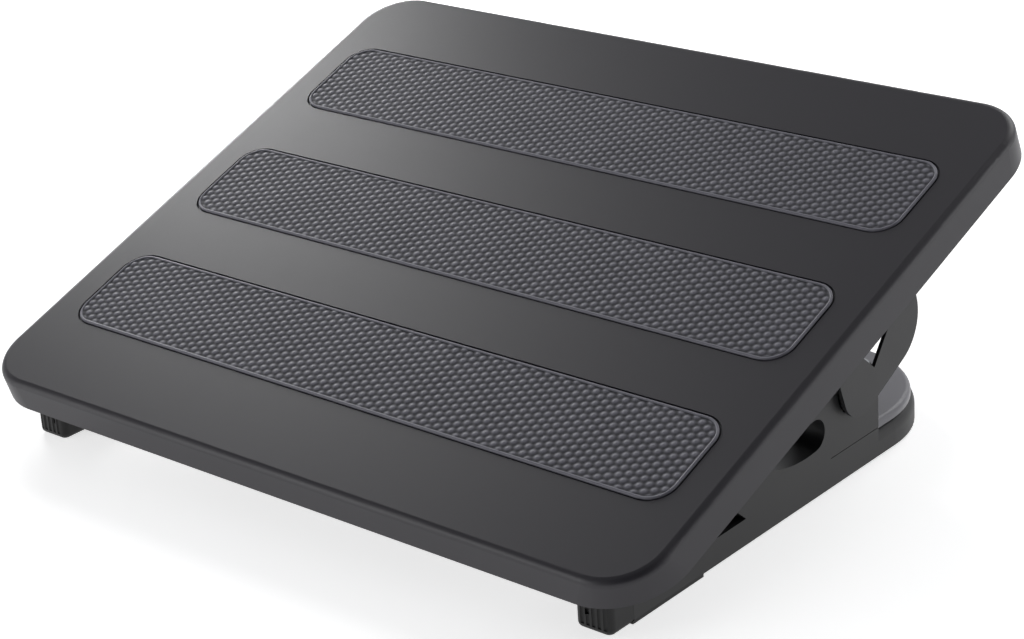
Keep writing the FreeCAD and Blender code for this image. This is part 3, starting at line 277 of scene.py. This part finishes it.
def tread_mesh(name, middle):
    """A grid whose rows end on the rounded outline, with a wall round it down to a flat underside. With d the
    distance inwards and e the edge's rounding, the edge falls by e (1 - sqrt(1 - (1 - d/e)^2))."""
    rows = np.linspace(-TREAD_HALF[1], TREAD_HALF[1], 1 + round(2 * TREAD_HALF[1] / STEP))
    columns = np.linspace(-1, 1, 1 + round(2 * TREAD_HALF[0] / STEP))
    over = np.maximum(np.abs(rows) - TREAD_HALF[1] + TREAD_CORNER, 0)
    reach = TREAD_HALF[0] - TREAD_CORNER + np.sqrt(np.maximum(TREAD_CORNER ** 2 - over ** 2, 0))
    x, s = reach[:, None] * columns[None, :], np.repeat(rows[:, None], len(columns), axis=1)

    inside = border_distance(x, s)
    relief = diamonds(x, s) * np.clip((inside - BORDER) / DIAMOND_FADE, 0, 1)
    border = -np.clip((inside - BORDER) / BORDER_FALL, -1, 0)
    from_edge = 1 - np.clip(inside / TREAD_EDGE, 0, 1)
    rounding = TREAD_EDGE * (1 - np.sqrt(np.clip(1 - from_edge ** 2, 0, 1)))
    w = DECK_RISE + TREAD_PROUD - DIAMOND_TALL + DIAMOND_TALL * (relief + border) - rounding

    index = np.arange(x.size).reshape(x.shape)
    ring = np.concatenate([index[0, :-1], index[:-1, -1], index[-1, :0:-1], index[:0:-1, 0]])
    places = to_world(x, middle + s, w).reshape(-1, 3)
    foot = to_world(x.ravel()[ring], middle + s.ravel()[ring], np.full(len(ring), DECK_RISE - TREAD_SUNK))
    low = len(places) + np.arange(len(ring))
    quads = np.stack([index[:-1, :-1], index[:-1, 1:], index[1:, 1:], index[1:, :-1]], axis=-1)
    walls = np.stack([ring, low, np.roll(low, -1), np.roll(ring, -1)], axis=-1)
    underside = [low[::-1].tolist()]

    mesh = bpy.data.meshes.new(name)
    faces = quads.reshape(-1, 4).tolist() + walls.tolist() + underside
    mesh.from_pydata(np.vstack([places, foot]).tolist(), [], faces)
    # this relief sets the rubber's painted shade in the hollows and painted highlight on the tops
    shade = np.concatenate([np.maximum(relief, border).ravel(), np.zeros(len(ring))])
    mesh.attributes.new("relief", "FLOAT", "POINT").data.foreach_set("value", shade)
    mesh.shade_smooth()
    return mesh


def rubber_material():
    """Moulded rubber by the mesh's relief: duller in the hollows, with painted shade there and a painted
    highlight on the tops, and a faint mottle.
    """
    material, tree, shader, where = surface("moulded_rubber_diamonds")
    relief = node(tree, "ShaderNodeAttribute", {"attribute_name": "relief"})
    mottle = noise(tree, where, MOTTLE, 3.0, -0.03, 0.03)
    level = node(tree, "ShaderNodeMath", {"operation": "ADD"}, {0: relief.outputs["Fac"], 1: mottle})
    # the ramp paints shade into the hollows and a highlight onto the diamonds' tops
    painted_light_tones = node(tree, "ShaderNodeValToRGB", inputs={"Fac": level.outputs[0]})
    for stop, (place, hex_colour) in zip(painted_light_tones.color_ramp.elements, (HOLLOW_PAINTED_SHADE, TOP_PAINTED_HIGHLIGHT)):
        stop.position = place
        stop.color = linear(hex_colour)
    tree.links.new(painted_light_tones.outputs[0], shader.inputs["Base Color"])
    tree.links.new(ramp(tree, level.outputs[0], (0.0, 0.75), (1.0, 0.52)), shader.inputs["Roughness"])
    roughen(tree, shader, where, SKIN, SKIN_DEEP)
    shader.inputs["IOR"].default_value = 1.5
    return material


rubber = rubber_material()
for name, place in (("tread_front", -1), ("tread_middle", 0), ("tread_rear", 1)):
    mesh = tread_mesh(name + "_diamonds", TREAD_MIDDLE + place * TREAD_PITCH)
    mesh.materials.append(rubber)
    tread = bpy.data.objects.new(name + "_diamonds", mesh)
    bpy.context.scene.collection.objects.link(tread)
    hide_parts(name)
    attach(tread, "deck_unit")


# Ears: pressed steel plates between the deck and the pivots, screwed up into the deck through their flanges.
# They have a dark powder coat, with the slight orange peel of a sprayed and baked finish.

dress(moulded_plastic("dark_powder_coat", "#1a1a1d", 0.5, grain_mm=1.1, depth_mm=0.03, patch_mm=25.0),
      "ear_left", "ear_right")


# Pivots and screws: pins with hubs, washers and lock nuts on the tilt axis, and the screws that hold the
# ears, the brackets and the cover. All are zinc-plated steel, duller in blotches, with fine turning marks.

ZINC = ("#a4a7aa", "#8e9194")           # fresh plate and its blotches
BLOTCHES = 300.0                        # in a metre
TURNING = (4000.0, 150.0, 150.0)        # marks in a metre: fine along the tilt axis, so they run round it
MARKS_DEEP = 0.000008


def plated_steel(name):
    """Zinc plate: metal with cloudy tone and roughness, and marks that run round the tilt axis."""
    material, tree, shader, where = surface(name)
    stretch = node(tree, "ShaderNodeMapping", inputs={"Vector": where, "Scale": TURNING})
    roughen(tree, shader, stretch.outputs[0], 1.0, MARKS_DEEP)
    cloud = node(tree, "ShaderNodeTexNoise", inputs={"Vector": where, "Scale": BLOTCHES, "Detail": 4.0})
    tint = node(tree, "ShaderNodeMix", {"data_type": "RGBA"},
                {"Factor": cloud.outputs["Fac"], "A": linear(ZINC[0]), "B": linear(ZINC[1])})
    tree.links.new(tint.outputs["Result"], shader.inputs["Base Color"])
    tree.links.new(noise(tree, where, BLOTCHES, 4.0, 0.28, 0.42), shader.inputs["Roughness"])
    shader.inputs["Metallic"].default_value = 1.0
    return material


SIDED_HARDWARE = ("pivot_pin", "spring_washer", "flat_washer", "lock_nut", "ear_screws", "bracket_screws")
dress(plated_steel("zinc_plated_steel"), "cover_screws",
      *(f"{name}_{side}" for name in SIDED_HARDWARE for side in ("left", "right")))


# Bushes and friction washers: plain bearings between the pins and the brackets, clamped by the lock nuts.
# They are unfilled nylon, off-white and slightly translucent.

nylon = moulded_plastic("natural_nylon", "#cfcabd", 0.45, grain_mm=0.8, depth_mm=0.01, patch_mm=8.0)
nylon.node_tree.nodes["Principled BSDF"].inputs["Subsurface Weight"].default_value = 0.2
nylon.node_tree.nodes["Principled BSDF"].inputs["Subsurface Radius"].default_value = (0.002, 0.0018, 0.0015)
dress(nylon, "pivot_bush_left", "pivot_bush_right", "friction_washer_left", "friction_washer_right")


# Base frame and brackets: the U-shaped moulding on the floor, and the uprights screwed to its rails from
# below. They are ABS like the deck's, darker and with a slightly coarser grain.

dress(moulded_plastic("grained_abs_base", "#18181a", 0.52, grain_mm=0.6, depth_mm=0.025), "base_frame",
      "bracket_left", "bracket_right")


# Rear cover: a plate pegged to the rear beam and screwed from below.
# It is smoother, lighter ABS, the palest part of the base in the photo.

dress(moulded_plastic("satin_abs_cover", "#7f7e84", 0.38, grain_mm=0.35, depth_mm=0.012), "rear_cover")


# Boots and rear feet: fluted rubber caps on the rails' front ends, and two rubber discs with stems behind.
# They are plain black rubber, dull and faintly uneven in tone.

dress(moulded_plastic("dull_black_rubber", "#161617", 0.6, grain_mm=0.5, depth_mm=0.03, patch_mm=12.0),
      "front_boot_left", "front_boot_right", "rear_foot_left", "rear_foot_right")
